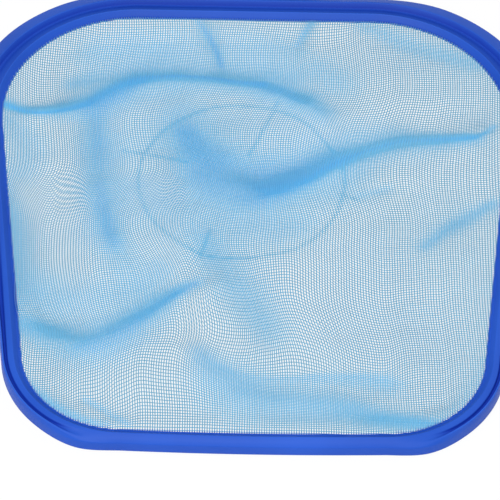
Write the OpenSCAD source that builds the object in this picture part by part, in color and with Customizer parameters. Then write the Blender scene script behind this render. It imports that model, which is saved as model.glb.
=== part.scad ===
// Leaf skimmer head: a moulded rim that carries a fine net, with a yoke and a
// hollow shank at the rear that slides into a pool pole and locks in it with
// two sprung buttons.
// X is the width, +Y points to the pole, +Z is the side that leaves lie on.
// The origin is at the middle of the whole length, in the plane that the rim
// rests on.

/* [Net opening] */
// Width of the opening at the rear, measured where its sides meet the rear edge
opening_rear_w = 282; // [250:1:320]
// Width of the opening at the front, measured where its sides meet the front edge
opening_front_w = 226; // [190:1:245]
// Length of the opening from front edge to rear edge
opening_len = 286; // [250:1:330]
// Radius of the two corners beside the pole
rear_corner_r = 72; // [50:1:90]
// Radius of the two corners at the leading edge
front_corner_r = 51; // [35:1:70]
// How far the leading edge bows forwards at its middle
front_bow = 1.1; // [0:0.1:4]

/* [Rim section] */
// Height of the ledge that the net is moulded onto
ledge_z = 6.6; // [5.5:0.1:9]
// Width of that ledge, from the opening's edge to the foot of the inner wall
ledge_w = 1.5; // [1:0.1:2.5]
// Thickness of the ledge
ledge_t = 1.6; // [1:0.1:2.5]
// Slope of the inner wall, measured across the rail
inner_slope_w = 2.2; // [1.5:0.1:4]
// Height of the crest above the ledge
crest_h = 2.8; // [2:0.1:5]
// Width of the small bevel between the inner wall and the crest
crest_bevel = 0.5; // [0.4:0.1:1.5]
// Width of the top band along the sides, from the crest to the groove
band_w = 3; // [2:0.1:5]
// Width of the top band round the rear
rear_band_w = 1.4; // [1:0.1:3]
// Width of the groove along the sides
groove_w = 2; // [1.2:0.1:3]
// Width of the groove round the rear
rear_groove_w = 7.4; // [4:0.1:8]
// Depth of the groove below the crest along the sides
groove_depth = 2; // [1:0.1:2.5]
// Depth of the groove below the crest round the rear
rear_groove_depth = 3.2; // [1:0.1:3.5]
// Thickness of the outer lip at its top
lip_t = 0.8; // [0.6:0.1:1.5]
// Height of the upright outer face below the leading edge and the rear skirt
belt_h = 6; // [4.5:0.1:7]
// Wall thickness of the rim, which is hollow underneath
rim_wall = 1.8; // [1.4:0.1:2.2]

/* [Rim outline] */
// Width of the rail at the leading edge
front_rail_w = 8.6; // [7.8:0.1:10]
// Width of the rail along the front half of the sides
side_rail_w = 10.4; // [10.2:0.1:12]
// Width of the rail round the rear, where its skirt spreads to carry the yoke
rear_rail_w = 18.5; // [14:0.1:24]
// How far the rail swells at the two ends of the leading edge
corner_swell = 0.7; // [0:0.1:1.5]
// How far the skirt swells further round the two rear corners
rear_swell = 2.3; // [0:0.1:4]

/* [Net] */
// Number of gaps across the net
gaps_across = 17; // [8:1:17]
// Number of gaps along the net
gaps_along = 17; // [8:1:17]
// Share of the pitch that a strand takes
strand_share = 0.22; // [0.1:0.01:0.4]
// Thickness of the net
net_t = 0.6; // [0.4:0.1:0.8]
// Width of the closed border that shows inside the ledge
net_border = 3; // [2:0.1:6]
// Depth of the deepest fold below the ledge
fold_depth = 4.2; // [1:0.1:4.5]
// Half the width of a fold
fold_w = 12; // [9:0.5:16]
// Depth that the slack net hangs to between its folds
slack_depth = 0.8; // [0:0.1:1.5]

/* [Shank] */
// Outer diameter of the shank, which slides into the pole
shank_d = 28.4; // [26:0.1:30]
// Wall thickness of the shank
shank_wall = 2.6; // [2:0.1:3.2]
// Length of the shank from its collar to its open end
shank_len = 82; // [76:1:110]
// Height of the shank's axis above the plane that the rim rests on
shank_z = 15; // [14.4:0.1:18]
// How much smaller in radius the shank is between its two seating bands
waist_depth = 0.3; // [0.2:0.1:0.6]
// Length of each seating band
band_len = 20; // [14:1:24]
// Length of the lead-in chamfer at the open end
tip_chamfer = 2; // [1:0.1:4]

/* [Yoke] */
// Width of the yoke where it leaves the rim
yoke_w = 92; // [80:1:100]
// Distance from the rim to the face of the collar
yoke_len = 43; // [38:1:60]
// Diameter of the collar that the pole stops against
collar_d = 34; // [32:0.1:40]
// Length of the collar
collar_len = 9; // [6:0.5:14]
// Thickness of the web that fills the yoke
web_t = 3.5; // [2.5:0.1:5]
// Thickness of the upright ribs along the yoke's edges
arm_rib_t = 2.4; // [1.8:0.1:4]

/* [Button clip] */
// Diameter of the buttons
button_d = 8.6; // [7:0.1:9.5]
// How far a button stands out of the shank
button_out = 4.6; // [3.5:0.1:6]
// Distance from the collar to the buttons
button_y = 44; // [38:1:54]
// Radial clearance of a button in its hole
button_gap = 0.3; // [0.2:0.05:0.6]
// Width of the spring strip
strip_w = 8; // [6:0.1:9]
// Thickness of the spring strip
strip_t = 0.8; // [0.5:0.1:1.2]
// Inner radius of the bend at the closed end of the spring
bend_r = 1.8; // [1.2:0.1:3]
// Clearance between the spring, its studs and what they seat on
clip_gap = 0.3; // [0.2:0.05:0.4]

/* [Hidden] */
$fn = 64;
rim_blue = [0.20, 0.34, 0.82];
net_blue = [0.52, 0.76, 0.90];
steel_grey = [0.72, 0.73, 0.75];

// Stations round the rim, per half
front_steps = 6;
corner_steps = 16;
side_steps = 12;
rear_steps = 5;

// Plan of the opening
side_lean = atan((opening_rear_w - opening_front_w) / 2 / opening_len);
whole_len = front_rail_w + front_bow + opening_len + rear_rail_w + yoke_len + shank_len;
front_y = front_rail_w + front_bow - whole_len / 2;
rear_y = front_y + opening_len;
front_cx = opening_front_w / 2 - front_corner_r / tan((90 + side_lean) / 2);
front_cy = front_y + front_corner_r;
rear_cx = opening_rear_w / 2 - rear_corner_r / tan((90 - side_lean) / 2);
rear_cy = rear_y - rear_corner_r;

// Section of the rim, measured outwards from the opening's edge
wall_top_d = ledge_w + inner_slope_w;
crest_d = wall_top_d + crest_bevel;
crest_z = ledge_z + crest_h;
band_fall = 0.6;
lip_fall = 0.2;
bevel_fall = 0.5;
inner_foot_d = ledge_w + rim_wall;
ceiling_d = crest_d + 0.3;

// Where along the rim its section changes, as the angle of its outward
// direction from straight forwards, and as Y along the sides
groove_starts = 14;
groove_full = 40;
nose_ends = 22;
swell_at = 24;
swell_spread = 12;
flare_from = front_cy - 8;
flare_to = rear_cy;
rear_swell_from = 95;
rear_swell_full = [135, 152];

// Net
net_seat = 0.1;
net_over = 0.2;
net_z = ledge_z + net_seat;
fold_fade = 1.6;
net_mid_y = (front_y + rear_y) / 2;
// Each fold: its route, from the middle of the net, and its share of the full depth
folds = [
    [[[-134, 79], [-113, 74], [-81, 83], [-49, 103], [9, 96], [35, 77]], 1],
    [[[127, 65], [93, 56], [57, 43], [18, 17], [0, 12], [-17, 21], [-34, 50]], 1],
    [[[-111, -75], [-77, -85], [-44, -57], [-24, -45]], 0.9],
    [[[-27, -94], [-7, -117], [39, -117], [89, -130]], 0.8],
    [[[0, -107], [60, -104]], 0.7],
    [[[124, 7], [108, -4], [90, -20]], 0.65],
    [[[-81, 78], [-78, 2], [-70, -19]], 0.6]
];

// Shank, yoke and clip
seat_y = rear_y + rear_rail_w;
collar_y = seat_y + yoke_len;
tip_y = collar_y + shank_len;
shank_r = shank_d / 2;
bore_r = shank_r - shank_wall;
bore_end_y = collar_y - 1;
button_cy = collar_y + button_y;
neck_x = collar_d / 2 - 2;
ribs_y = collar_y - collar_len;
spread = yoke_w / 2 - neck_x;
arc_r = (pow(ribs_y - seat_y, 2) + spread * spread) / (2 * spread);
arc_x = neck_x + arc_r;
nose_y = seat_y + yoke_len * 0.72;
leg_clear_x = sqrt(bore_r * bore_r - strip_w * strip_w / 4) - clip_gap;
bend_y = bore_end_y + clip_gap + bend_r + strip_t;
leg_x0 = bend_r + strip_t / 2;
leg_y0 = bend_y + clip_gap;
leg_past = 6;
leg_run = button_cy + leg_past - leg_y0;
leg_lean = atan((leg_clear_x - strip_t / 2 - leg_x0) / leg_run);
leg_len = leg_run / cos(leg_lean);
leg_mid_x = leg_x0 + (button_cy - leg_y0) * tan(leg_lean);
stud_r = 1.3;
stud_head_r = 2.5;
stud_head_t = 0.8;
slot_len = 1.2;
foot_r = 2.5;
foot_x = leg_mid_x + strip_t / 2 / cos(leg_lean) + foot_r * tan(leg_lean) + clip_gap;
head_x = leg_mid_x - strip_t / 2 / cos(leg_lean) - stud_head_r * tan(leg_lean) - clip_gap;
flange_x = foot_x + 0.6;
dome_r = 5.6;

function smooth(t) = let (c = min(1, max(0, t))) c * c * (3 - 2 * c);
function mix(a, b, t) = a + (b - a) * t;
function bell(t) = exp(-t * t);

// A station is [x, y, nx, ny]: a point of the opening's edge and its outward direction
function on_arc(cx, cy, r, a) = [cx + r * cos(a), cy + r * sin(a), cos(a), sin(a)];
function on_line(p, q, t) = [mix(p[0], q[0], t), mix(p[1], q[1], t), p[2], p[3]];

front_arc_end = on_arc(front_cx, front_cy, front_corner_r, -side_lean);
rear_arc_start = on_arc(rear_cx, rear_cy, rear_corner_r, -side_lean);

right_half = concat(
    [for (i = [0:front_steps - 1])
        let (t = i / front_steps)
        [front_cx * t, front_y - front_bow * (1 - t * t), 0, -1]],
    [for (i = [0:corner_steps - 1])
        on_arc(front_cx, front_cy, front_corner_r, -90 + (90 - side_lean) * i / corner_steps)],
    [for (i = [0:side_steps - 1])
        on_line(front_arc_end, rear_arc_start, i / side_steps)],
    [for (i = [0:corner_steps - 1])
        on_arc(rear_cx, rear_cy, rear_corner_r, -side_lean + (90 + side_lean) * i / corner_steps)],
    [for (i = [0:rear_steps])
        [rear_cx * (1 - i / rear_steps), rear_y, 0, 1]]);
left_half = [for (i = [len(right_half) - 2:-1:1])
    let (s = right_half[i])
    [-s[0], s[1], -s[2], s[3]]];
stations = concat(right_half, left_half);

// How far the section at a station is the plain leading edge (1) or has the groove and lip (0)
function nose_share(s) = 1 - smooth((acos(-s[3]) - groove_starts) / (groove_full - groove_starts));
function flare_share(s) = smooth((s[1] - flare_from) / (flare_to - flare_from));
function rail_w(s) =
    let (turn = acos(-s[3]))
    mix(side_rail_w, front_rail_w, 1 - smooth(turn / nose_ends))
    + corner_swell * bell((turn - swell_at) / swell_spread)
    + (rear_rail_w - side_rail_w) * flare_share(s)
    + rear_swell * smooth((turn - rear_swell_from) / (rear_swell_full[0] - rear_swell_from))
        * smooth((180 - turn) / (180 - rear_swell_full[1]));

// Section of the rim at a station, as [outwards, up] points
function section(s) =
    let (w = rail_w(s), f = nose_share(s), e = flare_share(s),
         groove_in = crest_d + mix(band_w, rear_band_w, e),
         lip_in = groove_in + mix(groove_w, rear_groove_w, e),
         flank = (lip_in - groove_in) / 4,
         groove_z = crest_z - mix(groove_depth, rear_groove_depth, e),
         crest = [crest_d, crest_z],
         belt = [w, belt_h],
         grooved = [
             [groove_in, crest_z - band_fall],
             [groove_in + flank, groove_z],
             [lip_in - flank, groove_z],
             [lip_in, crest_z - lip_fall],
             [lip_in + lip_t, crest_z - lip_fall * 2]],
         inner_w = w - rim_wall)
    concat(
        [[0, ledge_z - ledge_t], [0, ledge_z], [ledge_w, ledge_z],
         [wall_top_d, crest_z - bevel_fall], crest],
        [for (i = [0:4]) mix(grooved[i], mix(crest, belt, (i + 1) / 6), f)],
        [belt, [w, 0], [inner_w, 0],
         [inner_w, mix(groove_z - rim_wall, belt_h - rim_wall, e)],
         [min(lip_in, inner_w - 0.4), groove_z - rim_wall + 0.1],
         [min(groove_in, inner_w - 0.8), groove_z - rim_wall + 0.1],
         [ceiling_d, crest_z - rim_wall - 0.1],
         [inner_foot_d, ledge_z - ledge_t]]);

// Two triangles for four corners given clockwise as seen from outside
function quad(a, b, c, d) = [[a, b, c], [a, c, d]];

module frame() {
    sections = [for (s = stations) section(s)];
    n = len(stations);
    m = len(sections[0]);
    points = [for (i = [0:n - 1]) for (p = sections[i])
        [stations[i][0] + stations[i][2] * p[0], stations[i][1] + stations[i][3] * p[0], p[1]]];
    faces = [for (i = [0:n - 1]) for (j = [0:m - 1])
        let (a = i * m + j, b = i * m + (j + 1) % m,
             c = ((i + 1) % n) * m + (j + 1) % m, d = ((i + 1) % n) * m + j)
        each quad(a, d, c, b)];
    color(rim_blue) polyhedron(points, faces, convexity = 8);
}

// The net's outline follows the opening. Its grid lines end on stops that are spread evenly
// along four runs, which meet at the middles of the corners.
deg = 180 / PI;
front_arc = front_corner_r * (90 - side_lean) / 2 / deg;
rear_arc = rear_corner_r * (90 + side_lean) / 2 / deg;
side_line = norm([rear_arc_start[0] - front_arc_end[0], rear_arc_start[1] - front_arc_end[1]]);
side_run = front_arc + side_line + rear_arc;

function mirrored(s) = [-s[0], s[1], -s[2], s[3]];
function front_stop(q) =
    q < 0 ? mirrored(front_stop(-q))
    : q < front_cx ? [q, front_y - front_bow * (1 - pow(q / front_cx, 2)), 0, -1]
    : on_arc(front_cx, front_cy, front_corner_r, -90 + (q - front_cx) / front_corner_r * deg);
function rear_stop(q) =
    q < 0 ? mirrored(rear_stop(-q))
    : q < rear_cx ? [q, rear_y, 0, 1]
    : on_arc(rear_cx, rear_cy, rear_corner_r, 90 - (q - rear_cx) / rear_corner_r * deg);
function side_stop(q) =
    q < front_arc
        ? on_arc(front_cx, front_cy, front_corner_r, -side_lean - (front_arc - q) / front_corner_r * deg)
    : q < front_arc + side_line
        ? on_line(front_arc_end, rear_arc_start, (q - front_arc) / side_line)
    : on_arc(rear_cx, rear_cy, rear_corner_r,
             -side_lean + (q - front_arc - side_line) / rear_corner_r * deg);

nu = gaps_across;
nv = gaps_along;
ring = concat(
    [for (i = [0:nu - 1]) front_stop((2 * i / nu - 1) * (front_cx + front_arc))],
    [for (j = [0:nv - 1]) side_stop(side_run * j / nv)],
    [for (i = [nu:-1:1]) rear_stop((2 * i / nu - 1) * (rear_cx + rear_arc))],
    [for (j = [nv:-1:1]) mirrored(side_stop(side_run * j / nv))]);
ring_len = len(ring);

function ring_xy(k, d) = let (s = ring[k % ring_len]) [s[0] + s[2] * d, s[1] + s[3] * d];
function edge_xy(k) = ring_xy(k, -net_border);
// Where two of the net's lines cross: the four edges blended across the opening
function cross_xy(i, j) =
    let (u = i / nu, v = j / nv)
    edge_xy(i) * (1 - v) + edge_xy(2 * nu + nv - i) * v
    + edge_xy(2 * (nu + nv) - j) * (1 - u) + edge_xy(nu + j) * u
    - edge_xy(0) * (1 - u) * (1 - v) - edge_xy(nu) * u * (1 - v)
    - edge_xy(nu + nv) * u * v - edge_xy(2 * nu + nv) * (1 - u) * v;

// Folds
function leg_dist(p, a, b) =
    let (ab = b - a)
    norm(p - a - ab * min(1, max(0, (p - a) * ab / (ab * ab))));
function route_dist(p, route) =
    min([for (i = [0:len(route) - 2]) leg_dist(p, route[i], route[i + 1])]);
function fold_share(p) =
    max([for (f = folds) f[1] * bell(route_dist(p - [0, net_mid_y], f[0]) / fold_w)]);
function hang(p) = slack_depth + (fold_depth - slack_depth) * fold_share(p);
// The net leaves its border level and reaches its full depth fold_fade gaps from it
function inland(u, v) = smooth(min(u * nu, (1 - u) * nu, v * nv, (1 - v) * nv) / fold_fade);
function on_net(i, j) =
    let (p = cross_xy(i, j))
    [p[0], p[1], net_z - hang(p) * inland(i / nu, j / nv)];

crossings = [for (j = [0:nv]) [for (i = [0:nu]) on_net(i, j)]];
// The corners of a gap, anticlockwise from above
function gap_corners(i, j) =
    let (a = crossings[j][i], b = crossings[j][i + 1], c = crossings[j + 1][i + 1],
         d = crossings[j + 1][i], h = strand_share / 2)
    [for (w = [[h, h], [1 - h, h], [1 - h, 1 - h], [h, 1 - h]])
        mix(mix(a, b, w[0]), mix(d, c, w[0]), w[1])];
function ring_crossing(k) =
    k < nu ? k
    : k < nu + nv ? (k - nu) * (nu + 1) + nu
    : k < 2 * nu + nv ? nv * (nu + 1) + 2 * nu + nv - k
    : (2 * (nu + nv) - k) * (nu + 1);

module net() {
    under = concat(
        [for (row = crossings) each row],
        [for (j = [0:nv - 1]) for (i = [0:nu - 1]) each gap_corners(i, j)],
        [for (k = [0:ring_len - 1])
            let (p = ring_xy(k, ledge_w - net_over))
            [p[0], p[1], net_z]]);
    up = len(under);
    first_gap = (nu + 1) * (nv + 1);
    first_ring = first_gap + 4 * nu * nv;
    points = concat(under, [for (p = under) p + [0, 0, net_t]]);
    gap_faces = [for (j = [0:nv - 1]) for (i = [0:nu - 1])
        let (g = first_gap + 4 * (j * nu + i), a = j * (nu + 1) + i,
             corner = [a, a + 1, a + nu + 2, a + nu + 1])
        for (e = [0:3])
            let (n = (e + 1) % 4)
            each concat(
                quad(up + corner[e], up + g + e, up + g + n, up + corner[n]),
                quad(corner[e], corner[n], g + n, g + e),
                quad(up + g + n, up + g + e, g + e, g + n))];
    border_faces = [for (k = [0:ring_len - 1])
        let (o = first_ring + k, q = first_ring + (k + 1) % ring_len,
             c = ring_crossing(k), d = ring_crossing((k + 1) % ring_len))
        each concat(
            quad(up + o, up + c, up + d, up + q),
            quad(o, q, d, c),
            quad(up + o, up + q, q, o))];
    color(net_blue) polyhedron(points, concat(gap_faces, border_faces), convexity = 10);
}

// A round bar along Y
module bar(r, y0, y1, r2 = -1) {
    translate([0, y0, shank_z]) rotate([-90, 0, 0])
        cylinder(h = y1 - y0, r1 = r, r2 = r2 < 0 ? r : r2);
}

// Plan of the yoke: it spreads from the collar to the rim along two arcs
module yoke_plan(grow) {
    difference() {
        translate([-yoke_w / 2, seat_y]) square([yoke_w, ribs_y - seat_y]);
        for (side = [-1, 1]) translate([side * arc_x, ribs_y]) circle(arc_r + grow);
    }
}

// Everything under a slope that climbs from the rim's belt to height z1 at y1, and on to y2
module under_slope(y1, z1, y2) {
    rotate([90, 0, 90]) translate([0, 0, -yoke_w]) linear_extrude(2 * yoke_w)
        polygon([[seat_y, 0], [y2, 0], [y2, z1], [y1, z1], [seat_y, belt_h]]);
}

module handle() {
    color(rim_blue) difference() {
        union() {
            // web of the yoke, at the foot of its ribs
            linear_extrude(web_t) yoke_plan(0);
            // ribs along the yoke's edges
            intersection() {
                linear_extrude(2 * shank_z) difference() {
                    yoke_plan(0);
                    yoke_plan(arm_rib_t);
                }
                under_slope(ribs_y, shank_z, ribs_y);
            }
            // wall that joins the rim
            translate([-yoke_w / 2, seat_y, 0]) cube([yoke_w, arm_rib_t, belt_h]);
            // central tube with a sloping nose
            intersection() {
                bar(shank_r, seat_y, collar_y);
                under_slope(nose_y, shank_z + shank_r + 1, collar_y);
            }
            // collar, flat underneath
            intersection() {
                bar(collar_d / 2, collar_y - collar_len, collar_y);
                translate([-collar_d, 0, 0]) cube([2 * collar_d, 2 * tip_y, 3 * shank_z]);
            }
            // shank with its two seating bands
            bar(shank_r, collar_y, collar_y + band_len);
            bar(shank_r - waist_depth, collar_y + band_len, tip_y - band_len - tip_chamfer);
            bar(shank_r, tip_y - band_len - tip_chamfer, tip_y - tip_chamfer);
            bar(shank_r, tip_y - tip_chamfer, tip_y, shank_r - tip_chamfer / 2);
        }
        bar(bore_r, bore_end_y, tip_y + 1);
        translate([-shank_d, button_cy, shank_z]) rotate([0, 90, 0])
            cylinder(h = 2 * shank_d, r = button_d / 2 + button_gap);
    }
}

// The closed end of the spring
module clip_bend() {
    color(steel_grey) translate([0, bend_y, shank_z - strip_w / 2]) linear_extrude(strip_w)
        difference() {
            circle(bend_r + strip_t);
            circle(bend_r);
            translate([-2 * bend_r - strip_t, 0]) square(4 * bend_r + 2 * strip_t);
        }
}

// The +X leg of the spring, with a slot that lets its stud slide a little
module clip_leg() {
    color(steel_grey) difference() {
        translate([leg_x0, leg_y0, shank_z - strip_w / 2]) rotate([0, 0, -leg_lean])
            translate([-strip_t / 2, 0, 0]) cube([strip_t, leg_len, strip_w]);
        translate([leg_mid_x, button_cy, shank_z]) rotate([0, 0, -leg_lean]) {
            for (end = [-1, 1]) translate([-stud_head_r, end * slot_len / 2, 0]) rotate([0, 90, 0])
                cylinder(h = 2 * stud_head_r, r = stud_r + clip_gap);
            translate([-stud_head_r, -slot_len / 2, -stud_r - clip_gap])
                cube([2 * stud_head_r, slot_len, 2 * (stud_r + clip_gap)]);
        }
    }
}

module clip_leg_right() {
    clip_leg();
}

module clip_leg_left() {
    mirror([1, 0, 0]) clip_leg();
}

// A round bar along X at the buttons
module cross_bar(r, x0, x1) {
    translate([x0, 0, 0]) rotate([0, 90, 0]) cylinder(h = x1 - x0, r = r);
}

// The +X button: domed head, and a stud that holds the leg between its foot and its own head
module button() {
    top_x = shank_r + button_out;
    color(steel_grey) translate([0, button_cy, shank_z]) {
        intersection() {
            cross_bar(button_d / 2, flange_x, top_x);
            translate([top_x - dome_r, 0, 0]) union() {
                sphere(dome_r);
                translate([-top_x, -button_d, -button_d]) cube([top_x, 2 * button_d, 2 * button_d]);
            }
        }
        cross_bar(foot_r, foot_x, flange_x + 0.1);
        cross_bar(stud_r, head_x - 0.1, foot_x + 0.1);
        cross_bar(stud_head_r, head_x - stud_head_t, head_x);
    }
}

module button_right() {
    button();
}

module button_left() {
    mirror([1, 0, 0]) button();
}

frame();
net();
handle();
clip_bend();
clip_leg_left();
clip_leg_right();
button_left();
button_right();
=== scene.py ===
import bpy, math
import numpy as np
from mathutils import Vector, Matrix


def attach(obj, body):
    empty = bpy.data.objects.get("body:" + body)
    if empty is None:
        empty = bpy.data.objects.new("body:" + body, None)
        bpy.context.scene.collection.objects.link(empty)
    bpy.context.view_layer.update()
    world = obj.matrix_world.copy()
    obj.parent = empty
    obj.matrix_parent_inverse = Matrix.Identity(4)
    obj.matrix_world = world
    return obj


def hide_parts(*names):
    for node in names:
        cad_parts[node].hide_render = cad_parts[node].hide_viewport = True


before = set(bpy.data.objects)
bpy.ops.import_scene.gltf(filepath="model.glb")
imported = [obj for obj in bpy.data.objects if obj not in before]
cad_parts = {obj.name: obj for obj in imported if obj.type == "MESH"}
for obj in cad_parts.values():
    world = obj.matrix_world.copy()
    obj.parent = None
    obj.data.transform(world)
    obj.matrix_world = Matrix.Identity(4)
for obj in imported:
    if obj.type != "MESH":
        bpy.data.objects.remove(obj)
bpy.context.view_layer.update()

# The looks of a leaf skimmer's head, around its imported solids. The rim is made again with rounded
# edges, and the net from its single threads. The handle, the clip and the buttons are the solids
# themselves. Lengths are in millimetres, and new_mesh turns them into metres.

MM = 0.001

# ---------------------------------------------------------------- sizes of the rim, as in part.scad
REAR_W, FRONT_W, LEN = 282.0, 226.0, 286.0
REAR_R, FRONT_R, BOW = 72.0, 51.0, 1.1
LEDGE_Z, LEDGE_W, LEDGE_T = 6.6, 1.5, 1.6
INNER_SLOPE, CREST_H, BEVEL = 2.2, 2.8, 0.5
BAND_W, GROOVE_W, GROOVE_D, LIP_T = 3.0, 2.0, 2.0, 0.8
BAND_FALL, LIP_FALL, BEVEL_FALL = 0.6, 0.2, 0.5
BELT_H, WALL = 6.0, 1.8
FRONT_RAIL, SIDE_RAIL, REAR_RAIL, SWELL, REAR_SWELL = 8.6, 10.4, 18.5, 0.7, 2.3
YOKE_LEN, SHANK_LEN = 43.0, 82.0
# Where along the rim its section changes, by the angle of its outward direction from straight forwards
GROOVE_STARTS, GROOVE_FULL, NOSE_ENDS = 14, 40, 22
SWELL_AT, SWELL_SPREAD = 24, 12
REAR_SWELL_FROM, REAR_SWELL_FULL = 95, (135, 152)
# Only here: the rear's band and groove, with softer shoulders than part.scad's 1.4, 7.4 and 3.2 have
REAR_BAND_W, REAR_GROOVE_W, REAR_GROOVE_D = 0.6, 7.7, 2.9
# Only here: the chamfer under the ledge, and how much the front's slope bulges outwards and upwards
LEDGE_CHAMFER = 1.2
BULGE_OUT, BULGE_UP = 0.35, 0.25
RIM_STATIONS = (30, 44, 60, 30)   # on half the front, a front corner, a side, and half the rear

WHOLE = FRONT_RAIL + BOW + LEN + REAR_RAIL + YOKE_LEN + SHANK_LEN
FRONT_Y = FRONT_RAIL + BOW - WHOLE / 2
REAR_Y = FRONT_Y + LEN
MID_Y = (FRONT_Y + REAR_Y) / 2
LEAN = math.atan((REAR_W - FRONT_W) / 2 / LEN)
FCX = FRONT_W / 2 - FRONT_R / math.tan((math.pi / 2 + LEAN) / 2)
FCY = FRONT_Y + FRONT_R
RCX = REAR_W / 2 - REAR_R / math.tan((math.pi / 2 - LEAN) / 2)
RCY = REAR_Y - REAR_R
FLARE_FROM = FCY - 8
WALL_TOP = LEDGE_W + INNER_SLOPE
CREST_D, CREST_Z = WALL_TOP + BEVEL, LEDGE_Z + CREST_H


def smooth(t):
    t = np.clip(t, 0, 1)
    return t * t * (3 - 2 * t)


def mix(a, b, t):
    return a + (b - a) * t


# ---------------------------------------------------------------- outline of the opening
def arc(cx, cy, r, start, end, n):
    """Stations on an arc, without its end."""
    a = np.linspace(start, end, n, endpoint=False)
    return np.stack([cx + r * np.cos(a), cy + r * np.sin(a), np.cos(a), np.sin(a)], 1)


def outline(front_n, corner_n, side_n, rear_n):
    """Stations round the opening: x, y and the outward direction, anticlockwise from the front's middle.
    Gives the right half, up to the rear's middle, and the whole."""
    t = np.linspace(0, 1, front_n, endpoint=False)
    front = np.stack([FCX * t, FRONT_Y - BOW * (1 - t * t), 0 * t, 0 * t - 1], 1)
    front_corner = arc(FCX, FCY, FRONT_R, -math.pi / 2, -LEAN, corner_n)
    p = np.array([FCX + FRONT_R * math.cos(LEAN), FCY - FRONT_R * math.sin(LEAN)])
    q = np.array([RCX + REAR_R * math.cos(LEAN), RCY - REAR_R * math.sin(LEAN)])
    t = np.linspace(0, 1, side_n, endpoint=False)[:, None]
    outward = np.tile([math.cos(LEAN), -math.sin(LEAN)], (side_n, 1))
    side = np.concatenate([p + (q - p) * t, outward], 1)
    rear_corner = arc(RCX, RCY, REAR_R, -LEAN, math.pi / 2, corner_n)
    t = np.linspace(0, 1, rear_n + 1)
    rear = np.stack([RCX * (1 - t), 0 * t + REAR_Y, 0 * t, 0 * t + 1], 1)
    right = np.concatenate([front, front_corner, side, rear_corner, rear])
    left = right[-2:0:-1] * np.array([-1, 1, -1, 1])
    return right, np.concatenate([right, left])


def new_mesh(name, verts, faces):
    """A smooth shaded object from points in millimetres and faces of four corners."""
    me = bpy.data.meshes.new(name)
    verts = np.asarray(verts, dtype=np.float64) * MM
    faces = np.asarray(faces, dtype=np.int32)
    me.vertices.add(len(verts))
    me.vertices.foreach_set("co", verts.ravel())
    me.loops.add(faces.size)
    me.loops.foreach_set("vertex_index", faces.ravel())
    me.polygons.add(len(faces))
    me.polygons.foreach_set("loop_start", np.arange(0, faces.size, faces.shape[1], dtype=np.int32))
    me.polygons.foreach_set("use_smooth", np.full(len(faces), True))
    me.update(calc_edges=True)
    me.validate()
    ob = bpy.data.objects.new(name, me)
    bpy.context.scene.collection.objects.link(ob)
    return ob


# ---------------------------------------------------------------- rim, with rounded edges
def rail_width(turn, flare):
    """Width of the rim from the opening's edge to its outer side."""
    return (mix(SIDE_RAIL, FRONT_RAIL, 1 - smooth(turn / NOSE_ENDS))
            + SWELL * math.exp(-((turn - SWELL_AT) / SWELL_SPREAD) ** 2)
            + (REAR_RAIL - SIDE_RAIL) * flare
            + REAR_SWELL * smooth((turn - REAR_SWELL_FROM) / (REAR_SWELL_FULL[0] - REAR_SWELL_FROM))
            * smooth((180 - turn) / (180 - REAR_SWELL_FULL[1])))


def rim_section(station):
    """The section at a station, as (outwards, up, rounding) corners: the solid's own, softened."""
    _, y, _, ny = station
    turn = math.degrees(math.acos(max(-1, min(1, -ny))))
    nose = 1 - smooth((turn - GROOVE_STARTS) / (GROOVE_FULL - GROOVE_STARTS))
    flare = smooth((y - FLARE_FROM) / (RCY - FLARE_FROM))
    w = rail_width(turn, flare)
    groove_in = CREST_D + mix(BAND_W, REAR_BAND_W, flare)
    lip_in = groove_in + mix(GROOVE_W, REAR_GROOVE_W, flare)
    groove_z = CREST_Z - mix(GROOVE_D, REAR_GROOVE_D, flare)
    flank = (lip_in - groove_in) / 4
    pts = [(LEDGE_CHAMFER, LEDGE_Z - LEDGE_T, 0.3), (0, LEDGE_Z - 0.3, 0.2), (0.1, LEDGE_Z, 0.2),
           (LEDGE_W, LEDGE_Z, 0.8), (WALL_TOP, CREST_Z - BEVEL_FALL, 0.7),
           (CREST_D, CREST_Z, mix(0.8, 0.4, flare))]
    grooved = [(groove_in, CREST_Z - BAND_FALL, mix(0.45, 0.9, flare)),
               (groove_in + mix(1, 2.3, flare) * flank, groove_z, mix(0.35, 2.0, flare)),
               (lip_in - mix(1, 1.1, flare) * flank, groove_z, mix(0.35, 1.2, flare)),
               (lip_in, CREST_Z - LIP_FALL, mix(0.3, 0.4, flare)),
               (lip_in + LIP_T, CREST_Z - LIP_FALL * 2, 0.38)]
    for i, (d, z, r) in enumerate(grooved):
        f = (i + 1) / (len(grooved) + 1)
        # the front has no groove: it is one convex slope, a little fuller than a straight line
        slope_d = mix(CREST_D, w, f) + BULGE_OUT * math.sin(math.pi * f)
        slope_z = mix(CREST_Z, BELT_H, f) + BULGE_UP * math.sin(math.pi * f)
        pts.append((mix(d, slope_d, nose), mix(z, slope_z, nose), mix(r, 0.6, nose)))
    inner = w - WALL
    pts += [(w, BELT_H, mix(0.5, 2.2, nose)), (w, 0, 0.5), (inner, 0, 0.3),
            (inner, mix(groove_z - WALL, BELT_H - WALL, flare), 0.4),
            (min(lip_in, inner - 0.4), groove_z - WALL + 0.1, 0.4),
            (min(groove_in, inner - 0.8), groove_z - WALL + 0.1, 0.4),
            (CREST_D + 0.3, CREST_Z - WALL - 0.1, 0.4), (LEDGE_W + WALL, LEDGE_Z - LEDGE_T, 0.3)]
    return pts


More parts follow.
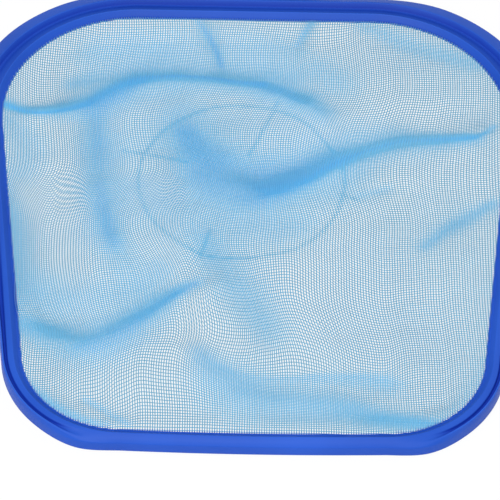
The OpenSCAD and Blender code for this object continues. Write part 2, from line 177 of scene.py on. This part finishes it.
def rounded(pts, steps=4):
    """Every corner of a closed section turned into points on a curve that touches both sides."""
    out = []
    for i, (d, z, r) in enumerate(pts):
        corner = np.array([d, z])
        before = np.array(pts[i - 1][:2])
        after = np.array(pts[(i + 1) % len(pts)][:2])
        to_before, to_after = np.linalg.norm(before - corner), np.linalg.norm(after - corner)
        # a corner takes less than half of each side, so that two roundings never meet
        cut = min(r, 0.46 * to_before, 0.46 * to_after)
        start = corner + (before - corner) / max(to_before, 1e-9) * cut
        end = corner + (after - corner) / max(to_after, 1e-9) * cut
        for t in np.linspace(0, 1, steps):
            out.append((1 - t) ** 2 * start + 2 * t * (1 - t) * corner + t * t * end)
    return np.array(out)


def make_rim():
    _, stations = outline(*RIM_STATIONS)
    rings = []
    for s in stations:
        sec = rounded(rim_section(s))
        rings.append(np.stack([s[0] + s[2] * sec[:, 0], s[1] + s[3] * sec[:, 0], sec[:, 1]], 1))
    rings = np.array(rings)
    n, m = rings.shape[:2]
    i, j = np.arange(n)[:, None], np.arange(m)[None, :]
    here, there = i * m, (i + 1) % n * m
    faces = np.stack([here + j, here + (j + 1) % m, there + (j + 1) % m, there + j], -1)
    return new_mesh("rim_moulding", rings.reshape(-1, 3), faces.reshape(-1, 4))


# ---------------------------------------------------------------- net: its border and its gathers
PITCH_X, PITCH_Y = 1.34, 1.84     # between threads that run along and across the head, where it is flat
STRAND_W, STRAND_H = 0.268, 0.21  # half width and half height of a thread
CROSSING = 0.15                   # threads across lie this far below the net's middle, the others above
EDGE = 0.6                        # how far the net reaches into the ledge
SEAT = 0.42                       # height of the net's middle above the ledge, where it is held
SLACK = 1.3                       # how far the middle of the net hangs lower than that
LOWEST, HIGHEST = -5.2, 1.3       # limits of the net's height from its seat
LEVEL_W, FREE_W = 2.5, 14.0       # it is level this far from its border, and fully slack this much further in
BORDER_STATIONS = (60, 60, 90, 60)

right_half, whole_outline = outline(*BORDER_STATIONS)
border_x = right_half[:, 0] + right_half[:, 2] * EDGE
border_y = right_half[:, 1] + right_half[:, 3] * EDGE
WIDEST = int(np.argmax(border_x))


def x_at(y):
    return np.interp(y, np.maximum.accumulate(border_y), border_x)


def y_front(x):
    return np.interp(abs(x), border_x[:WIDEST + 1], border_y[:WIDEST + 1])


def y_rear(x):
    return np.interp(-abs(x), -border_x[WIDEST:], border_y[WIDEST:])


def room_x(x, y):
    """Distance from the border in X, negative outside."""
    return x_at(y) - np.abs(x)


def room_y(x, y):
    """Distance from the border in Y, negative outside."""
    return np.minimum(y - y_front(x), y_rear(x) - y)


# Zones where the slack net is gathered or slopes away, so that its gaps close: how much closer its
# threads lie, then a route, each point with its reach to the route's left and right side. Routes are
# chosen from the photograph, in millimetres from the middle of the net. ACROSS closes up the
# threads that run across the head, ALONG those that run along it.
ACROSS = [
    # rear fold: its sharp core, its right end and the soft band round it
    (1.2, [(-134, 78, 1.4, 1.4), (-122, 73, 1.4, 1.4), (-111, 71, 1.4, 1.4), (-100, 75, 1.6, 1.6),
           (-90, 79, 2.6, 2.6), (-81, 85, 4.5, 9), (-71, 93, 4.0, 10), (-60, 100, 2.4, 5),
           (-50, 102, 1.8, 2.0), (-35, 102, 1.6, 1.8), (-16, 99, 1.8, 1.8), (4, 97, 2.6, 2.4)]),
    (0.6, [(4, 97, 4, 4), (18, 90, 7, 7), (28, 83, 9, 9), (35, 77, 8, 8)]),
    (0.7, [(-134, 78, 3.7, 3.7), (-111, 71, 3.7, 4), (-95, 78, 7, 8), (-80, 88, 11, 19),
           (-62, 100, 9, 18), (-29, 98, 8, 7), (3, 94, 10, 9), (24, 83, 12, 12)]),
    # right fold: its core and the band round it
    (0.9, [(4, 19, 5, 3.5), (14, 20, 4.5, 3.5), (26, 26, 4, 3), (36, 34, 3, 2.8),
           (45, 42, 2.6, 2.6), (56, 50, 2.4, 2.5), (77, 58, 2.3, 2.5), (95, 59, 2.3, 2.5),
           (113, 59, 1.5, 2.0), (120, 61, 1.1, 1.5), (126, 68, 1.1, 1.5)]),
    (0.7, [(20, 29, 17, 13), (42, 42, 18, 17), (62, 53, 17, 10), (93, 60, 5, 8.5),
           (116, 60, 2.2, 4.4)]),
    # hollow behind the middle, which runs into the right fold
    (0.2, [(-43, 77, 10, 10), (-37, 62, 16, 16), (-31, 50, 16, 16)]),
    (0.8, [(-36, 60, 9, 9), (-29, 45, 16, 15), (-20, 30, 25, 22), (-5, 19, 28, 17),
           (12, 20, 32, 10), (26, 27, 24, 9)]),
    # left front fold: its core and the band round it
    (0.8, [(-90, -90, 5, 5), (-78, -89, 9, 10), (-68, -82, 10, 10), (-55, -67, 6, 6),
           (-41, -53, 4, 4), (-30, -45, 3, 3)]),
    (0.7, [(-122, -74, 6, 6), (-108, -79, 9, 9), (-97, -83, 11, 11), (-86, -86, 14, 14),
           (-73, -80, 16, 14), (-57, -66, 12, 12), (-42, -52, 8, 6), (-30, -45, 4, 3)]),
    # front fold: its broad band and its sharp rear edge
    (0.7, [(-28, -90, 5, 5), (-23, -101, 10, 9), (-13, -112, 14, 14), (2, -120, 15, 16),
           (20, -123, 13, 13), (42, -126, 9, 9), (64, -133, 6, 7), (84, -136, 4, 5),
           (96, -137, 3, 4)]),
    (0.55, [(-18, -98, 1.2, 4), (-4, -105, 1.2, 6), (12, -106, 1.2, 5), (34, -105, 1.2, 5),
            (54, -104, 1.6, 6), (68, -106, 2.4, 7)]),
    # short folds at the right side, and in the right front and left front corners
    (0.5, [(88, -17, 3, 3), (99, -6, 4, 4), (112, 6, 4, 4.5), (124, 13, 3, 3.5)]),
    (0.2, [(86, -139, 6, 5), (99, -131, 5, 5), (112, -116, 4, 5), (119, -96, 4, 4)]),
    (0.8, [(-118, -112, 3, 3.5), (-106, -125, 3, 3.5), (-91, -136, 3, 3.5), (-75, -142, 3, 3)]),
    (0.7, [(-84, -123, 1.8, 1.8), (-73, -131, 1.8, 1.8), (-63, -140, 1.8, 1.8)]),
    # dent in front of the right fold
    (0.4, [(55, 18, 2.1, 2.1), (70, 24, 2.1, 2.1)]),
    # soft shades: right rear corner, behind the rear fold's end, left rear corner
    (0.4, [(58, 140, 4, 4), (84, 127, 5, 5), (118, 113, 5, 5)]),
    (0.4, [(34, 108, 9, 9), (46, 99, 9, 9)]),
    (0.5, [(-85, 118, 10, 10), (-70, 126, 10, 10), (-50, 124, 9, 9)]),
    # between the rear fold and the hollow
    (0.4, [(-71, 49, 14, 16), (-51, 63, 20, 24), (-13, 72, 16, 18), (28, 60, 16, 16)]),
    # fold along the head, on the left, and its denser front end
    (0.35, [(-83, 66, 6, 6), (-82, 38, 8, 8), (-80, 13, 8, 8), (-76, -6, 7, 7), (-72, -18, 5, 5)]),
    (0.35, [(-81, 22, 5, 6), (-79, 8, 6, 7), (-75, -8, 5, 5), (-72, -17, 3, 3)]),
    # in front of the hollow
    (0.45, [(-66, 20, 16, 16), (-40, 0, 24, 24), (0, -5, 20, 20), (20, 0, 12, 12)]),
    # behind the rear fold, near it and near the rim
    (0.6, [(-98, 96, 4, 4), (-78, 104, 12, 10), (-44, 110, 16, 10), (-8, 108, 18, 12),
           (16, 102, 14, 12)]),
    (0.5, [(-60, 122, 12, 14), (-22, 128, 12, 16), (14, 124, 10, 14)]),
    # round the hollow's front end
    (0.35, [(-20, 20, 26, 18), (14, 14, 24, 16), (40, 22, 14, 12)]),
    # behind the left front fold, in front of the fold along the head, and at the left side
    (0.45, [(-110, -52, 12, 14), (-88, -60, 14, 12), (-66, -50, 14, 10), (-48, -38, 10, 8)]),
    (0.4, [(-78, -10, 14, 14), (-66, -34, 14, 14), (-58, -50, 10, 10)]),
    (0.3, [(-128, 66, 5, 10), (-118, 50, 10, 10), (-122, 30, 8, 8)]),
]
ALONG = [
    # fold along the head, on the left
    (0.55, [(-85, 72, 9, 9), (-84, 40, 10, 10), (-81, 14, 9, 9), (-77, -6, 7, 7), (-73, -20, 5, 5)]),
    # hollow behind the middle
    (0.36, [(-40, 72, 10, 10), (-32, 54, 15, 17), (-20, 36, 20, 20), (0, 22, 20, 15),
            (24, 30, 14, 6)]),
    # left side, and from the middle to the front fold
    (0.6, [(-131, 19, 4, 4), (-126, -9, 11, 5), (-124, -37, 11, 5), (-125, -64, 5, 4)]),
    (0.45, [(-26, -14, 6, 6), (-16, -38, 13, 12), (0, -58, 12, 12), (8, -76, 9, 9)]),
    # two narrow creases from the rear edge
    (0.9, [(-31, 141, 1.8, 1.8), (-22, 126, 2, 2), (-18, 112, 1.5, 1.5)]),
    (0.9, [(33, 146, 1.8, 1.8), (26, 134, 1.8, 1.8), (22, 126, 1.2, 1.2)]),
]
# How fast a zone ends at its reach, and how much the weaker of two zones adds to the stronger
FALL_OFF, ADDED = 0.7, 0.35
# Folds that change the height: the crest's height, its width in front of a route and behind it
STEPS = [
    (1.2, 6, 14, [(-135, 73), (-102, 77), (-77, 93), (-56, 103), (-16, 99), (4, 97), (34, 80)]),
    (1.3, 6, 13, [(13, 24), (39, 39), (69, 55), (98, 61), (124, 70)]),
    (1.2, 6, 13, [(-125, -72), (-99, -81), (-77, -82), (-53, -61), (-23, -43)]),
    (1.0, 8, 10, [(-30, -89), (-12, -111), (14, -118), (51, -116), (98, -135)]),
    (0.6, 12, 16, [(-36, 69), (-23, 47), (-5, 34), (18, 35)]),
]
FOLD_END = 9.0                    # how far past its route a fold runs out
# Thin creases pressed into the net: a ring, by its middle and radius, and four short spokes. There
# the threads are wider by this share, within about this distance
RING_X, RING_Y, RING_R = -7, 27, 54
CREASE_MORE, CREASE_W = 0.45, 0.8
SPOKES = [((12, 83), (-3, 47)), ((-69, 47), (-36, 40)), ((45, 18), (55, 14)), ((-23, -7), (-28, -25))]


def to_segment(x, y, p, q):
    """Nearest place on a segment: its share of the segment's length, and the offset from it."""
    ex, ey = q[0] - p[0], q[1] - p[1]
    t = np.clip(((x - p[0]) * ex + (y - p[1]) * ey) / (ex * ex + ey * ey), 0, 1)
    return t, x - p[0] - ex * t, y - p[1] - ey * t


def along_route(x, y, pts):
    """Nearest place on a route: distance, signed offset to its left, and place along it."""
    best = np.full(x.shape, 1e9)
    off = np.zeros_like(x)
    at = np.zeros_like(x)
    for k, (p, q) in enumerate(zip(pts[:-1], pts[1:])):
        t, dx, dy = to_segment(x, y, p, q)
        d = np.hypot(dx, dy)
        take = d < best
        ex, ey = q[0] - p[0], q[1] - p[1]
        best = np.where(take, d, best)
        off = np.where(take, (ex * dy - ey * dx) / math.hypot(ex, ey), off)
        at = np.where(take, k + t, at)
    return best, off, at


def eased(pts):
    """A route with its corners cut twice, so that it bends smoothly."""
    pts = np.array(pts, dtype=float)
    for _ in range(2):
        a, b = pts[:-1], pts[1:]
        cut = np.stack([0.75 * a + 0.25 * b, 0.25 * a + 0.75 * b], 1).reshape(-1, pts.shape[1])
        pts = np.concatenate([pts[:1], cut, pts[-1:]])
    return pts


def gathered(x, y, zones):
    """How much closer the threads lie than where the net is flat."""
    total = np.zeros_like(x)
    for strength, pts in zones:
        pts = eased(pts)
        best, off, at = along_route(x, y, pts)
        idx = np.arange(len(pts))
        reach = np.where(off > 0, np.interp(at, idx, pts[:, 2]), np.interp(at, idx, pts[:, 3]))
        v = strength * np.exp(-FALL_OFF * (best / reach) ** 2)
        total = np.maximum(total, v) + ADDED * np.minimum(total, v)
    return total


def step_field(x, y):
    """Rise of the net in front of each fold and its drop behind it."""
    out = np.zeros_like(x)
    for crest, near, far, pts in STEPS:
        best, off, _ = along_route(x, y, eased(pts))
        t = off / np.where(off > 0, far, near)
        past_end = np.maximum(best - np.abs(off), 0) / FOLD_END
        rise = -crest * np.where(off > 0, far / near, 1) * t * np.exp(0.5 * (1 - t * t))
        out += rise * np.exp(-past_end ** 2)
    return out


def waves(x, y, seed, scale):
    """A smooth, repeatable unevenness of about plus or minus one."""
    rng = np.random.RandomState(seed)
    out = np.zeros_like(x)
    for k in range(9):
        a = rng.uniform(0, 2 * math.pi)
        f = rng.uniform(0.5, 1.6) / scale
        phase = rng.uniform(0, 2 * math.pi)
        wave = np.sin((x * math.cos(a) + y * math.sin(a)) * f * 2 * math.pi + phase)
        out += math.sin(1.7 * k + 1) * wave
    return out / 2.6


def net_height(x, y):
    """Height of the net's middle above the ledge."""
    yc = y - MID_Y
    free = smooth((np.minimum(room_x(x, y), room_y(x, y)) - LEVEL_W) / FREE_W)
    # long swells and shorter ripples besides the folds
    h = step_field(x, yc) - SLACK + 0.8 * waves(x, yc, 3, 60) + 0.25 * waves(x, yc, 8, 24)
    return SEAT + free * np.clip(h, LOWEST, HIGHEST)


def crease(x, y):
    """How much wider the threads are flattened along the pressed ring and its spokes."""
    best = np.abs(np.hypot(x - RING_X, y - RING_Y) - RING_R)
    for p, q in SPOKES:
        _, dx, dy = to_segment(x, y, p, q)
        best = np.minimum(best, np.hypot(dx, dy))
    return 1 + CREASE_MORE * np.exp(-(best / CREASE_W) ** 2)


def from_edge(x, y):
    """Distance from the border, as for a straight edge through the border points in X and Y."""
    a = np.maximum(room_x(x, y), 0.01)
    b = np.maximum(room_y(x, y), 0.01)
    return 1 / np.sqrt(1 / a ** 2 + 1 / b ** 2)


# ---------------------------------------------------------------- net: its threads
# Pairs are for the threads across and for those along. Strength of the zones in ACROSS and ALONG, and
# how much closer the threads lie for it
STRENGTH_ACROSS, STRENGTH_ALONG = 1.5, 1.4
CLOSER_ACROSS, CLOSER_ALONG = 1.15, 1.1
# Unevenness of the threads' places, in pitches, and how far a slack thread wanders in waves this long
WOBBLE_ACROSS, WOBBLE_ALONG = 0.05, 0.04
WANDER_ACROSS, WANDER_ALONG, WANDER_LEN = 1.9, 1.3, 150
# The fields are worked out on a grid that reaches past the border, so that every thread is cut on
# the border itself
GRID_X, GRID_Y = 1.5, 0.5
grid_x = np.arange(-border_x.max() - 1.5, border_x.max() + 3.0, GRID_X)
grid_y = np.arange(border_y.min() - 2.0, border_y.max() + 4.0, GRID_Y)
SKIP_Y = 4                        # threads along the head have a point on every fourth grid line


def sampled(field, x, y):
    """A field given on the grid, read between its points."""
    u = np.clip((x - grid_x[0]) / (grid_x[1] - grid_x[0]), 0, len(grid_x) - 1.001)
    v = np.clip((y - grid_y[0]) / (grid_y[1] - grid_y[0]), 0, len(grid_y) - 1.001)
    i, j = u.astype(int), v.astype(int)
    u, v = u - i, v - j
    return ((field[i, j] * (1 - u) + field[i + 1, j] * u) * (1 - v)
            + (field[i, j + 1] * (1 - u) + field[i + 1, j + 1] * u) * v)


def spread(closer, coords, pitch, wobble, rng):
    """Places of one direction's threads: a row for each line of the grid, a column for each thread."""
    dens = 1 + closer
    run = np.concatenate([np.zeros((len(dens), 1)), np.cumsum((dens[:, 1:] + dens[:, :-1]) / 2, 1)], 1)
    run /= run[:, -1:]
    count = int((coords[-1] - coords[0]) / pitch * dens.mean())
    place = (np.arange(count) + 0.5 + rng.uniform(-wobble, wobble, count)) / count
    return np.array([np.interp(place, line, coords) for line in run])


def even(lines, reach):
    """Threads eased along their own length, so that a fold's end makes no kink in its neighbours."""
    w = np.exp(-0.5 * (np.arange(-3 * reach, 3 * reach + 1) / reach) ** 2)
    padded = np.pad(lines, ((3 * reach, 3 * reach), (0, 0)), mode="edge")
    return np.array([np.convolve(c, w / w.sum(), "valid") for c in padded.T]).T


def cut_at_border(x, y, room):
    """The stretch of a thread with room inside the border, which ends on the border, or nothing."""
    inside = np.where(room > 0)[0]
    if len(inside) < 3:
        return None
    a, b = inside[0], inside[-1]
    xs, ys = list(x[a:b + 1]), list(y[a:b + 1])
    if a > 0:
        f = room[a] / (room[a] - room[a - 1])
        xs.insert(0, x[a] + (x[a - 1] - x[a]) * f)
        ys.insert(0, y[a] + (y[a - 1] - y[a]) * f)
    if b < len(x) - 1:
        f = room[b] / (room[b] - room[b + 1])
        xs.append(x[b] + (x[b + 1] - x[b]) * f)
        ys.append(y[b] + (y[b + 1] - y[b]) * f)
    return np.array(xs), np.array(ys)


def tube(x, y, z, across, thick):
    """A thread: four points round each place along it, its sides and its two ends."""
    n = len(x)
    mid = np.stack([x, y, z], 1)
    side, up = np.zeros((n, 3)), np.zeros((n, 3))
    if across:
        side[:, 1] = -STRAND_W * thick
    else:
        side[:, 0] = STRAND_W * thick
    up[:, 2] = STRAND_H * thick
    ring = np.stack([mid + side, mid + up, mid - side, mid - up], 1)
    i, j = np.arange(n - 1)[:, None] * 4, np.arange(4)[None, :]
    k = (j + 1) % 4
    sides = np.stack([i + j, i + 4 + j, i + 4 + k, i + k], -1).reshape(-1, 4)
    last = (n - 1) * 4
    ends = np.array([[0, 1, 2, 3], [last + 3, last + 2, last + 1, last]])
    return ring.reshape(-1, 3), np.concatenate([sides, ends])


def make_net():
    X, Y = np.meshgrid(grid_x, grid_y, indexing="ij")
    rng = np.random.RandomState(5)
    close_across = STRENGTH_ACROSS * gathered(X, Y - MID_Y, ACROSS)
    close_along = STRENGTH_ALONG * gathered(X, Y - MID_Y, ALONG)
    # how far the gaps are closed, from 0 where the net is flat to 1
    shut = 1 - np.exp(-0.75 * (close_across + close_along))
    # the woven lines wander a little where the net hangs slack
    slack = smooth((from_edge(X, Y) - 2) / 30)
    drift_y = WANDER_ACROSS * slack * waves(X, Y - MID_Y, 21, WANDER_LEN)
    drift_x = WANDER_ALONG * slack * waves(X, Y - MID_Y, 22, WANDER_LEN)

    paths = []
    lines = spread(CLOSER_ACROSS * close_across, grid_y, PITCH_Y, WOBBLE_ACROSS, rng)
    for y in even(lines, 2).T:
        paths.append((grid_x, y + sampled(drift_y, grid_x, y), True))
    lines = spread(CLOSER_ALONG * close_along.T, grid_x, PITCH_X, WOBBLE_ALONG, rng)
    y = grid_y[::SKIP_Y]
    for x in even(lines[::SKIP_Y], 4).T:
        paths.append((x + sampled(drift_x, x, y), y, False))

    verts, faces, count = [], [], 0
    for x, y, across in paths:
        cut = cut_at_border(x, y, room_x(x, y) if across else room_y(x, y))
        if cut is None:
            continue
        x, y = cut
        z = LEDGE_Z + net_height(x, y) + (-CROSSING if across else CROSSING)
        # gathered cloth lies in doubled layers: its threads cover more
        thick = crease(x, y - MID_Y) * (1 + 0.25 * sampled(shut, x, y))
        points, quads = tube(x, y, z, across, thick)
        verts.append(points)
        faces.append(quads + count)
        count += len(points)
    verts = np.concatenate(verts)
    ob = new_mesh("net_threads", verts, np.concatenate(faces))

    x, y = verts[:, 0], verts[:, 1]
    # where the net is moulded into the ledge, the blue plastic covers it
    held = 1 - smooth((from_edge(x, y) - EDGE + 0.2) / 0.5)
    for name, values in (("gathered", sampled(shut, x, y)), ("moulded_in", held)):
        attribute = ob.data.attributes.new(name, "FLOAT", "POINT")
        attribute.data.foreach_set("value", values.astype(np.float32))
    return ob


# ---------------------------------------------------------------- materials
def material(name):
    m = bpy.data.materials.new(name)
    m.use_nodes = True
    return m, m.node_tree, m.node_tree.nodes["Principled BSDF"]


def node(nt, kind, **vals):
    """A new node, with values for its inputs or settings by name."""
    n = nt.nodes.new(kind)
    for k, v in vals.items():
        if k in n.inputs:
            n.inputs[k].default_value = v
        else:
            setattr(n, k, v)
    return n


def noise(nt, place, **vals):
    n = node(nt, "ShaderNodeTexNoise", **vals)
    nt.links.new(place, n.inputs["Vector"])
    return n.outputs["Fac"]


def ramp(nt, share, stops):
    """Colours along a share from 0 to 1."""
    r = nt.nodes.new("ShaderNodeValToRGB")
    while len(r.color_ramp.elements) < len(stops):
        r.color_ramp.elements.new(0.5)
    for element, (position, colour) in zip(r.color_ramp.elements, stops):
        element.position = position
        element.color = (*colour, 1)
    nt.links.new(share, r.inputs["Fac"])
    return r.outputs["Color"]


def remap(nt, value, to_min, to_max, from_min=0.0, from_max=1.0):
    """A value moved from one range to another, held at its ends."""
    n = nt.nodes.new("ShaderNodeMapRange")
    for k, v in (("From Min", from_min), ("From Max", from_max), ("To Min", to_min), ("To Max", to_max)):
        n.inputs[k].default_value = v
    nt.links.new(value, n.inputs["Value"])
    return n.outputs["Result"]


def blend(nt, share, none, full):
    """Two colours mixed by a share; each is a colour or another node's output."""
    n = node(nt, "ShaderNodeMix", data_type="RGBA")
    nt.links.new(share, n.inputs[0])
    for socket, colour in ((n.inputs[6], none), (n.inputs[7], full)):
        if isinstance(colour, tuple):
            socket.default_value = (*colour, 1)
        else:
            nt.links.new(colour, socket)
    return n.outputs[2]


def roughen(nt, shader, height, strength, distance):
    n = node(nt, "ShaderNodeBump", Strength=strength, Distance=distance)
    nt.links.new(height, n.inputs["Height"])
    nt.links.new(n.outputs["Normal"], shader.inputs["Normal"])


def plastic():
    m, nt, shader = material("blue_moulding")
    place = node(nt, "ShaderNodeTexCoord").outputs["Object"]
    cloudy = noise(nt, place, Scale=18.0, Detail=3.0)
    colour = ramp(nt, cloudy, [(0.3, (0.010, 0.068, 0.435)), (0.7, (0.015, 0.086, 0.505))])
    # painted shade: recesses, as ambient occlusion finds them, are coloured a deeper, purer blue
    around = node(nt, "ShaderNodeAmbientOcclusion", samples=8, only_local=True, Distance=0.009)
    unshaded_share = remap(nt, around.outputs["AO"], 0.0, 1.0, 0.68, 0.94)
    colour = blend(nt, unshaded_share, (0.006, 0.031, 0.33), colour)
    # painted highlight: narrow edges, as ambient occlusion from inside finds them, are coloured a lighter
    # blue
    within = node(nt, "ShaderNodeAmbientOcclusion", samples=8, only_local=True, inside=True,
                  Distance=0.0009)
    edge = remap(nt, within.outputs["AO"], 0.5, 0.0, 0.55, 0.9)
    colour = blend(nt, edge, colour, (0.035, 0.145, 0.66))
    nt.links.new(colour, shader.inputs["Base Color"])
    # painted shade: the recesses also reflect less
    nt.links.new(remap(nt, unshaded_share, 0.06, 0.18), shader.inputs["Specular IOR Level"])
    nt.links.new(remap(nt, cloudy, 0.44, 0.56), shader.inputs["Roughness"])
    fine = noise(nt, place, Scale=900.0, Detail=4.0, Roughness=0.6)
    roughen(nt, shader, fine, 0.12, 0.0002)
    return m


def nylon():
    m, nt, shader = material("net_nylon")
    place = node(nt, "ShaderNodeTexCoord").outputs["Object"]
    gather = node(nt, "ShaderNodeAttribute", attribute_name="gathered").outputs["Fac"]
    uneven = node(nt, "ShaderNodeMath", operation="MULTIPLY_ADD")
    nt.links.new(noise(nt, place, Scale=30.0, Detail=3.0), uneven.inputs[0])
    uneven.inputs[1].default_value = 0.3
    nt.links.new(gather, uneven.inputs[2])
    # painted light: loose threads are coloured greyer, gathered ones a purer blue, standing in for light
    # passing from one thread to the next
    colour = ramp(nt, uneven.outputs[0], [(0.15, (0.108, 0.380, 0.58)), (0.45, (0.112, 0.42, 0.655)),
                                          (0.75, (0.130, 0.47, 0.74)), (1.0, (0.066, 0.415, 0.775))])
    moulded_in = node(nt, "ShaderNodeAttribute", attribute_name="moulded_in").outputs["Fac"]
    colour = blend(nt, moulded_in, colour, (0.020, 0.13, 0.52))
    nt.links.new(colour, shader.inputs["Base Color"])
    shader.inputs["Roughness"].default_value = 0.45
    shader.inputs["Sheen Weight"].default_value = 0.2
    roughen(nt, shader, noise(nt, place, Scale=2500.0, Detail=2.0), 0.2, 0.0001)
    return m


def steel(name, roughness):
    m, nt, shader = material(name)
    # drawn out along the strip, as rolling and polishing leave it
    stretched = node(nt, "ShaderNodeMapping", Scale=(400, 30, 400))
    nt.links.new(node(nt, "ShaderNodeTexCoord").outputs["Object"], stretched.inputs["Vector"])
    lines = noise(nt, stretched.outputs["Vector"], Scale=6.0, Detail=4.0)
    colour = ramp(nt, lines, [(0.3, (0.50, 0.50, 0.51)), (0.7, (0.68, 0.68, 0.68))])
    nt.links.new(colour, shader.inputs["Base Color"])
    nt.links.new(remap(nt, lines, roughness, roughness + 0.15), shader.inputs["Roughness"])
    shader.inputs["Metallic"].default_value = 1.0
    return m


def pale_floor():
    """Takes the object's shadow, and to the camera is nearly the white of the background."""
    m = bpy.data.materials.new("pale_floor")
    m.use_nodes = True
    nt = m.node_tree
    nt.nodes.clear()
    rays = nt.nodes.new("ShaderNodeLightPath")
    seen = rays.outputs["Is Camera Ray"]
    for kind in ("Is Glossy Ray", "Is Transmission Ray"):
        either = node(nt, "ShaderNodeMath", operation="MAXIMUM")
        nt.links.new(seen, either.inputs[0])
        nt.links.new(rays.outputs[kind], either.inputs[1])
        seen = either.outputs[0]
    share = node(nt, "ShaderNodeMath", operation="MULTIPLY")
    nt.links.new(seen, share.inputs[0])
    share.inputs[1].default_value = 0.9
    shaded = node(nt, "ShaderNodeBsdfDiffuse", Color=(0.86, 0.86, 0.87, 1))
    white = node(nt, "ShaderNodeEmission", Color=(1, 1, 1, 1), Strength=1.0)
    both = nt.nodes.new("ShaderNodeMixShader")
    nt.links.new(share.outputs[0], both.inputs["Fac"])
    nt.links.new(shaded.outputs[0], both.inputs[1])
    nt.links.new(white.outputs[0], both.inputs[2])
    nt.links.new(both.outputs[0], nt.nodes.new("ShaderNodeOutputMaterial").inputs["Surface"])
    return m


# ---------------------------------------------------------------- pieces
def dress(ob, mat):
    ob.data.materials.clear()
    ob.data.materials.append(mat)
    return ob


blue = plastic()
net_look = nylon()
strip = steel("spring_strip_steel", 0.28)
dome = steel("button_polished_steel", 0.12)

rim = dress(make_rim(), blue)
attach(rim, "head"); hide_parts("frame")
net = dress(make_net(), net_look)
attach(net, "head"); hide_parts("net")

for name, mat in (("handle", blue), ("clip_bend", strip), ("clip_leg_left", strip), ("clip_leg_right", strip),
                  ("button_left", dome), ("button_right", dome)):
    dress(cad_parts[name], mat)

# ---------------------------------------------------------------- camera, at the photograph's angle
IMAGE = 500                       # pixels
SENSOR = 36.0                     # mm
FOCAL = 4924.0                    # focal length, in pixels
PIXEL = 0.52                      # mm that one pixel covers at the net's middle
SEEN_X, SEEN_Y = 254.49, 218.5    # pixel on which the net's middle is seen
elevation, turn, roll = math.radians(48.26), math.radians(-1.06), math.radians(1.82)

target = Vector((0, MID_Y, LEDGE_Z)) * MM
level_right = Vector((math.cos(turn), math.sin(turn), 0))
level_away = Vector((-math.sin(turn), math.cos(turn), 0))
overhead = Vector((0, 0, 1))
level_up = level_away * math.sin(elevation) + overhead * math.cos(elevation)
forward = level_away * math.cos(elevation) - overhead * math.sin(elevation)
right = level_right * math.cos(roll) + level_up * math.sin(roll)
up = -level_right * math.sin(roll) + level_up * math.cos(roll)
where = target - forward * (FOCAL * PIXEL * MM)
# the net's middle is off the picture's middle, so the camera looks a little past it
look = (forward * FOCAL + right * (IMAGE / 2 - SEEN_X) + up * (SEEN_Y - IMAGE / 2)).normalized()
up = (up - look * up.dot(look)).normalized()
right = look.cross(up)

lens = bpy.data.cameras.new("photo_camera")
lens.sensor_width = SENSOR
lens.lens = SENSOR * FOCAL / IMAGE
lens.clip_start, lens.clip_end = 0.05, 50
camera = bpy.data.objects.new("photo_camera", lens)
pose = Matrix.Identity(4)
for r in range(3):
    pose[r][0], pose[r][1], pose[r][2], pose[r][3] = right[r], up[r], -look[r], where[r]
camera.matrix_world = pose
bpy.context.scene.collection.objects.link(camera)
bpy.context.scene.camera = camera

# ---------------------------------------------------------------- floor, lights and background
bpy.ops.mesh.primitive_plane_add(size=14, location=(0, 0, -0.0002))
floor = bpy.context.object
floor.name = "floor"
floor.data.materials.append(pale_floor())


def light(name, loc, size, power, aim=(0, -0.05, 0)):
    """A square area light, in metres and watts."""
    lamp = bpy.data.lights.new(name, "AREA")
    lamp.shape, lamp.size, lamp.energy = "SQUARE", size, power
    ob = bpy.data.objects.new(name, lamp)
    ob.location = loc
    ob.rotation_euler = (Vector(aim) - Vector(loc)).to_track_quat("-Z", "Y").to_euler()
    bpy.context.scene.collection.objects.link(ob)


light("key", (-0.35, -1.2, 1.65), 1.5, 35)
light("fill", (1.0, 0.9, 1.4), 1.2, 4)

world = bpy.data.worlds.new("studio")
bpy.context.scene.world = world
world.use_nodes = True
background = world.node_tree.nodes["Background"]
background.inputs["Color"].default_value = (1, 1, 1, 1)
background.inputs["Strength"].default_value = 0.6

bpy.context.scene.view_settings.view_transform = "Standard"
